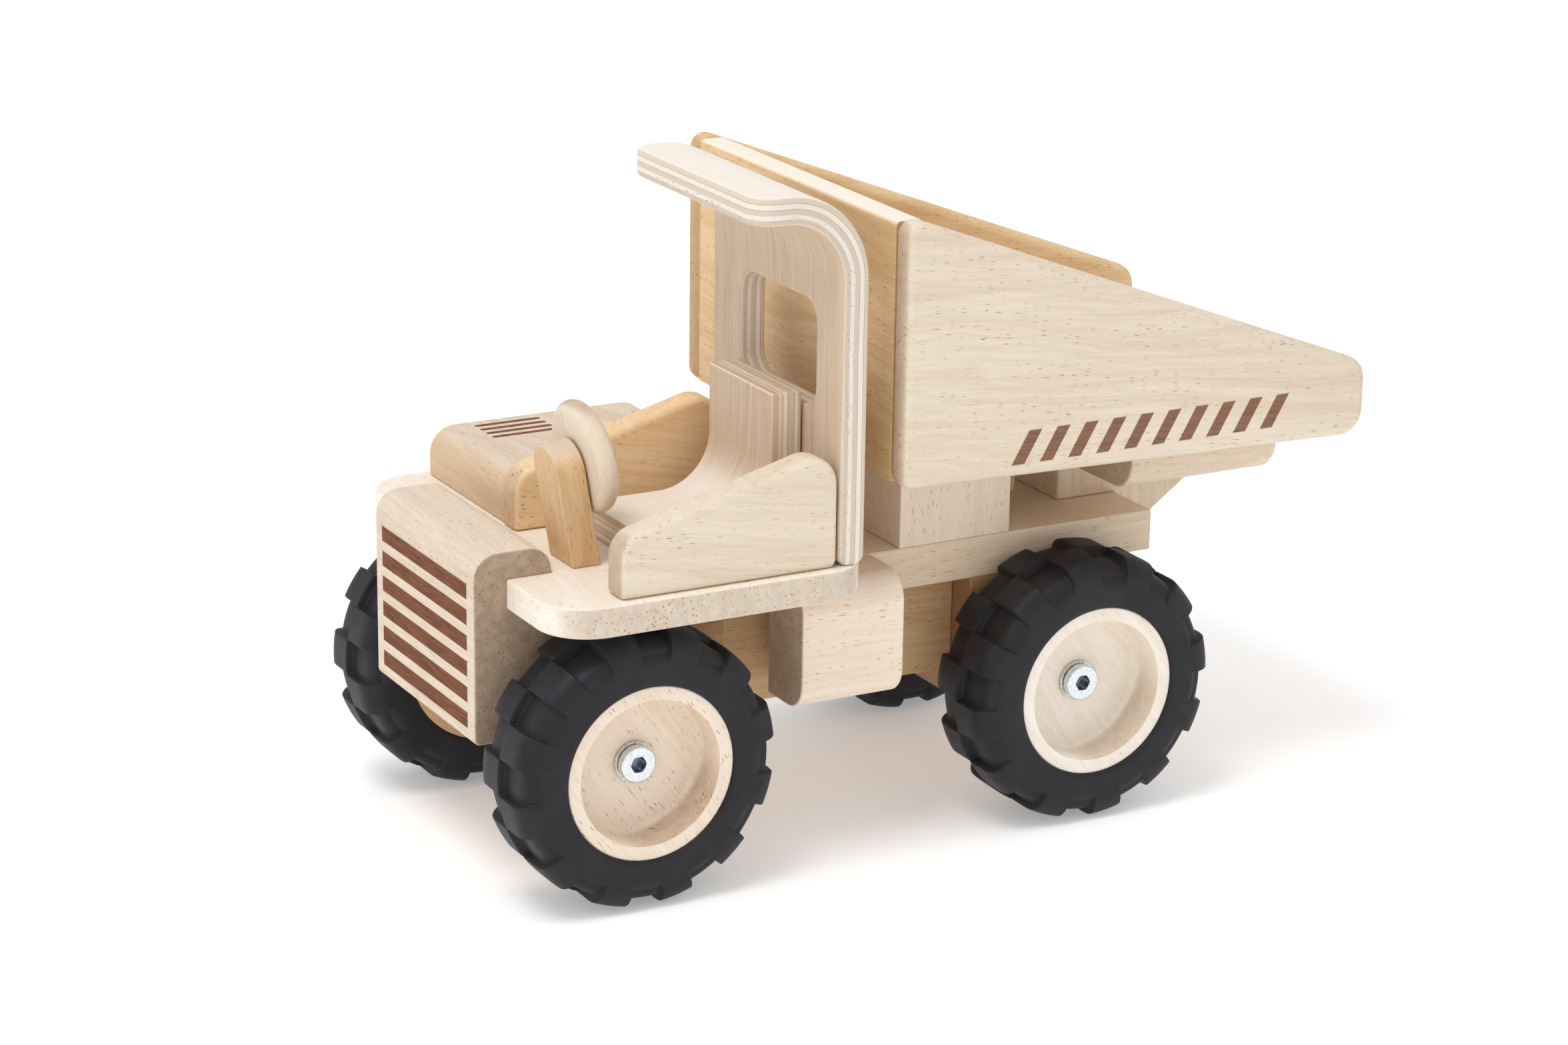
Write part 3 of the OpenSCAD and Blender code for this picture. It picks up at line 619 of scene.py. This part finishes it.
def tyre_material():
    """Dusty black rubber with a fine grain and pale specks."""
    s = Shader("tyre_rubber_moulded")
    place = s.node("ShaderNodeTexCoord").outputs["Object"]
    point = s.vector("SCALE", place, scale=1 / MM)
    dust = s.noise(point, 0.09, 4.0, 0.6)
    fine = s.noise(point, 2.6, 3.0, 0.65)
    colour = s.mix(s.step(dust, 0.35, 0.7), linear(16, 15, 20), linear(27, 26, 33))
    speck = s.step(s.noise(point, 1.7, 2.0, 0.7), 0.70, 0.78)
    colour = s.mix(s.math("MULTIPLY", speck, 0.35), colour, linear(70, 70, 80))
    s.put(s.surface.inputs["Base Color"], colour)
    s.put(s.surface.inputs["Roughness"], s.step(fine, 0.3, 0.7, 0.5, 0.66))
    s.surface.inputs["Specular IOR Level"].default_value = 0.4
    s.surface.inputs["Sheen Weight"].default_value = 0.05
    s.surface.inputs["Sheen Roughness"].default_value = 0.5
    s.surface.inputs["Sheen Tint"].default_value = linear(190, 195, 215)
    s.bump(fine, 0.10, 0.5)
    return s.mat


def smooth(value, low, high):
    """0 below low, 1 above high and a smooth step between."""
    t = min(max((value - low) / (high - low), 0.0), 1.0)
    return t * t * (3 - 2 * t)


# half of a tyre's section, in mm: radius and distance from the middle, bead to tread centre
SECTION = [
    (26.9, 14.7), (27.4, 15.0), (29.0, 15.0), (31.0, 15.0), (33.0, 15.0), (34.6, 14.92),
    (35.8, 14.85), (36.9, 14.75), (38.0, 14.5), (39.0, 14.15), (39.8, 13.75), (40.5, 13.25),
    (41.1, 12.65), (41.6, 11.95), (42.0, 11.1), (42.28, 10.1), (42.43, 8.9), (42.5, 7.5),
    (42.5, 5.5), (42.5, 3.5), (42.5, 1.8), (42.5, 0.75), (42.5, 0.35), (42.5, 0.12),
]


LUGS = 12
POCKET_DEPTH = 2.5
# degrees on either side of a lug's edge over which the wall of its pocket slopes
WALL = 0.4
# the mesh's columns in degrees from each lug's edge, closest together at the edge
COLUMNS = [-1.2, -0.8, -0.5, -0.25, 0.0, 0.25, 0.5, 0.8, 1.2, 3.0, 5.2, 7.5, 9.8, 12.0]


def lug_share(local, half_step):
    """1 on a lug, which is the first half of a step, and 0 in the pocket after it."""
    starts = smooth(local, -WALL, WALL)
    ends = smooth(local, half_step - WALL, half_step + WALL)
    following = smooth(local, 2 * half_step - WALL, 2 * half_step + WALL)
    return max(starts * (1 - ends), following)


def tyre_mesh(name, phase):
    """A tyre about the Z axis with two rows of pockets, each row half a step from the other."""
    half_step = 180.0 / LUGS
    angles = [k * half_step + o for k in range(2 * LUGS) for o in COLUMNS]
    rows = [(r, h, 1) for r, h in SECTION] + [(r, -h, -1) for r, h in reversed(SECTION)]
    mesh = bpy.data.meshes.new(name)
    bm = bmesh.new()
    grid = []
    for angle in angles:
        column = []
        turn = math.radians(angle + phase)
        for r, h, side in rows:
            local = (angle - (0.0 if side > 0 else half_step)) % (2 * half_step)
            # a pocket fades out down the wall, and nearly closes at the middle of the tread
            out = smooth(r, 34.2, 38.6)
            centre = smooth(abs(h), 0.1, 0.5)
            cut = POCKET_DEPTH * (1 - lug_share(local, half_step)) * out * (0.2 + 0.8 * centre)
            # it goes in towards the axle on the tread, and more and more sideways down the wall
            lean = smooth(r, 34.5, 42.0)
            radius = r - cut * (0.35 + 0.65 * lean)
            height = h - side * cut * 0.75 * (1 - lean)
            point = Vector((radius * math.cos(turn), radius * math.sin(turn), height)) * MM
            column.append(bm.verts.new(point))
        grid.append(column)
    for i, column in enumerate(grid):
        after = grid[(i + 1) % len(grid)]
        for j in range(len(rows)):
            k = (j + 1) % len(rows)
            bm.faces.new((column[j], after[j], after[k], column[k])).smooth = True
    bmesh.ops.recalc_face_normals(bm, faces=bm.faces)
    bm.to_mesh(mesh)
    bm.free()
    return mesh


TYRE = tyre_material()
# how far each tyre is turned on its wheel, in degrees
PHASES = {"front_left": 5.7, "front_right": 25.2, "rear_left": 30.8, "rear_right": 21.2}
for node, phase in PHASES.items():
    low, high = corners(node + "_tyre")
    side = 1 if node.endswith("left") else -1
    mesh = tyre_mesh(node + "_tyre", phase)
    middle = (low + high) / 2 * MM
    upright = Matrix.Rotation(math.radians(-90 * side), 4, "X")
    mesh.transform(Matrix.Translation(middle) @ upright)
    new_object(node + "_tyre_shape", mesh, TYRE, node + "_wheel", [node + "_tyre"])


# ---------------------------------------------------------------- steel

def axle_distance(s, point):
    """Distance in mm from the nearer of the two wheel axes."""
    front = sum(corners("front_left_tyre"), Vector()) / 2
    rear = sum(corners("rear_left_tyre"), Vector()) / 2
    x, _, z = s.split(point)
    from_middle = s.math("ABSOLUTE", s.math("SUBTRACT", x, (front.x + rear.x) / 2))
    away = s.math("SUBTRACT", from_middle, (front.x - rear.x) / 2)
    rise = s.math("SUBTRACT", z, front.z)
    return s.math("SQRT", s.math("ADD", s.math("MULTIPLY", away, away), s.math("MULTIPLY", rise, rise)))


def steel(name, tint, rough, socket=0.0):
    """Zinc-plated steel, with painted shade inside a socket of that radius in mm."""
    s = Shader(name)
    place = s.node("ShaderNodeTexCoord").outputs["Object"]
    point = s.vector("SCALE", place, scale=1 / MM)
    fine = s.noise(point, 1.4, 3.0, 0.6)
    colour = s.mix(s.step(fine, 0.3, 0.7), tint, linear(236, 240, 244))
    if socket > 0:
        # painted shade: dark blue-grey inside the bolt's socket
        inside = s.step(axle_distance(s, point), socket - 0.25, socket + 0.05, 0.8, 0.0)
        colour = s.mix(inside, colour, linear(52, 66, 84))
    s.put(s.surface.inputs["Base Color"], colour)
    s.put(s.surface.inputs["Roughness"], s.step(s.noise(point, 4.0, 2.0), 0.3, 0.7, rough, rough + 0.12))
    s.surface.inputs["Metallic"].default_value = 1.0
    s.bump(fine, 0.02, 0.4)
    return s.mat


dress(NODES["wheel_bolts"], steel("zinc_bolt", linear(205, 214, 222), 0.24, 2.5))
dress(NODES["wheel_bushings"], steel("zinc_sleeve", linear(196, 190, 160), 0.34))
dress(NODES["wheel_washers"], steel("zinc_washer", linear(190, 192, 190), 0.34))
for node in ("wheel_bolts", "wheel_bushings", "wheel_washers"):
    soften(NODES[node], 0.18, 2)


# ---------------------------------------------------------------- stage

def area_light(name, place, aim, size, power):
    """A soft round light at place that shines at aim."""
    light = bpy.data.lights.new(name, "AREA")
    light.shape = "DISK"
    light.size = size
    light.energy = power
    made = bpy.data.objects.new(name, light)
    made.location = place
    made.rotation_euler = (Vector(aim) - Vector(place)).to_track_quat("-Z", "Y").to_euler()
    bpy.context.scene.collection.objects.link(made)


def floor():
    """A plain white paper floor just under the wheels, faintly lit so that it reads as white."""
    mesh = bpy.data.meshes.new("studio_floor")
    bm = bmesh.new()
    bmesh.ops.create_grid(bm, x_segments=2, y_segments=2, size=6.0)
    bm.to_mesh(mesh)
    bm.free()
    made = bpy.data.objects.new("studio_floor", mesh)
    made.location.z = -0.0003
    s = Shader("studio_floor_paper")
    s.surface.inputs["Base Color"].default_value = (0.93, 0.93, 0.93, 1)
    s.surface.inputs["Roughness"].default_value = 0.9
    s.surface.inputs["Specular IOR Level"].default_value = 0.1
    s.surface.inputs["Emission Color"].default_value = (1, 1, 1, 1)
    s.surface.inputs["Emission Strength"].default_value = 0.28
    made.data.materials.append(s.mat)
    bpy.context.scene.collection.objects.link(made)


floor()

world = bpy.data.worlds.new("studio")
world.use_nodes = True
world.node_tree.nodes["Background"].inputs[0].default_value = (1, 1, 1, 1)
world.node_tree.nodes["Background"].inputs[1].default_value = 0.74
bpy.context.scene.world = world
area_light("key", (0.8, 0.35, 1.9), (0, 0, 0.08), 0.8, 15)
bpy.context.scene.view_settings.view_transform = "Standard"

# the camera's place in metres and its right and up directions
CAMERA_PLACE = Vector((0.59643, 1.04449, 0.46710))
CAMERA_RIGHT = Vector((-0.87845, 0.47763, 0.01426))
CAMERA_UP = Vector((-0.13306, -0.27317, 0.95272))
camera = bpy.data.cameras.new("camera")
camera.sensor_width = 36
camera.lens = 92.49
camera.clip_start = 0.05
camera_object = bpy.data.objects.new("camera", camera)
facing = Matrix((CAMERA_RIGHT, CAMERA_UP, CAMERA_RIGHT.cross(CAMERA_UP))).transposed().to_4x4()
camera_object.matrix_world = Matrix.Translation(CAMERA_PLACE) @ facing
bpy.context.scene.collection.objects.link(camera_object)
bpy.context.scene.camera = camera_object
